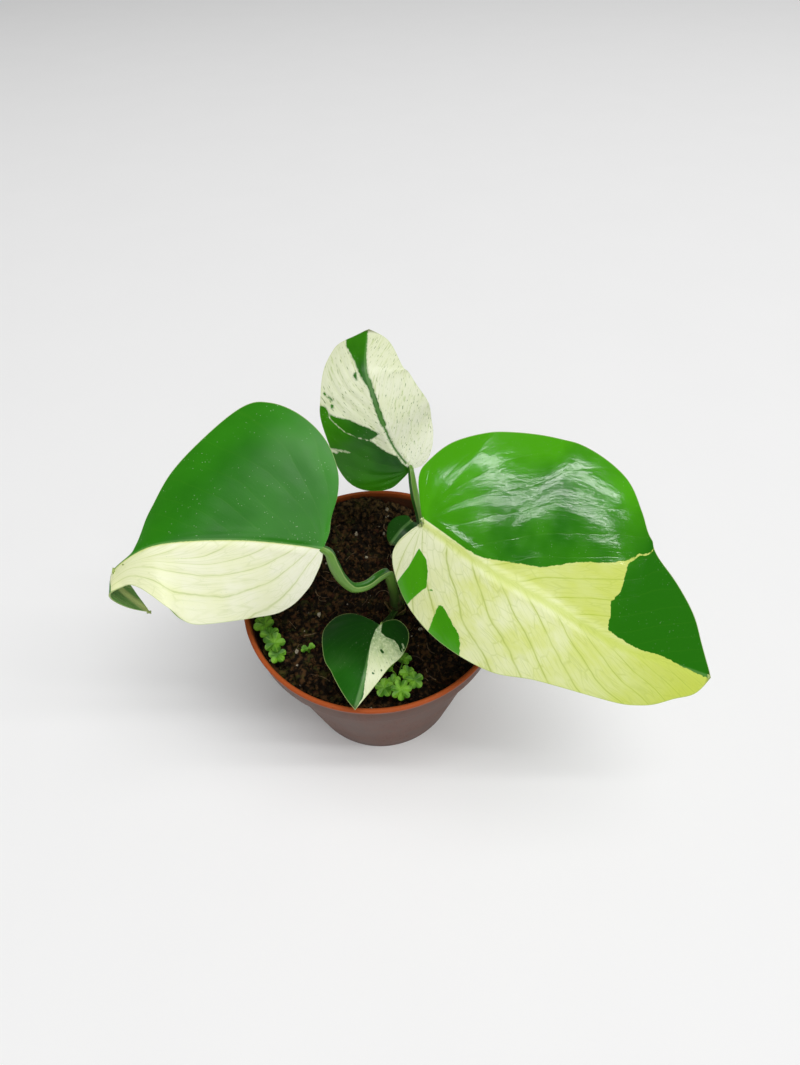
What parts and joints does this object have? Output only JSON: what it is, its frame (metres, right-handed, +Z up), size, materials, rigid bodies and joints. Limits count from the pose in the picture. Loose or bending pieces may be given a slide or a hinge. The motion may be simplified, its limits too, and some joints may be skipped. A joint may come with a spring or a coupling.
{
  "type": "potted monstera",
  "caption": "Young variegated monstera with glossy green and cream leaves on thin stalks, rooted in dark soil in a round tapered terracotta coloured plastic nursery pot with a rim band.",
  "frame": {"origin": "centre of the pot's base, on the surface that it stands on", "axes": "+Z up along the pot's axis, +X towards the largest leaf, +Y towards the upright back leaf"},
  "size_m": [0.1645, 0.1075, 0.1341],
  "materials": {
    "pot_plastic": "matte terracotta coloured moulded plastic",
    "soil": "crumbly damp potting soil with perlite grains",
    "stalk": "smooth satin green stalk",
    "leaf": "glossy leaf blade, green and cream variegated",
    "seedling": "soft matte bright green leaflets"
  },
  "bodies": {
    "root": {"pot": "pot_plastic", "soil": "soil", "stem": "stalk", "stalk_left": "stalk", "stalk_right": "stalk", "stalk_back": "stalk", "stalk_front": "stalk", "stalk_small": "stalk", "leaf_left": "leaf", "leaf_right": "leaf", "leaf_back": "leaf", "leaf_front": "leaf", "leaf_small": "leaf", "seedling_front": "seedling", "seedling_left": "seedling", "sprout": "seedling"}
  },
  "joints": []
}
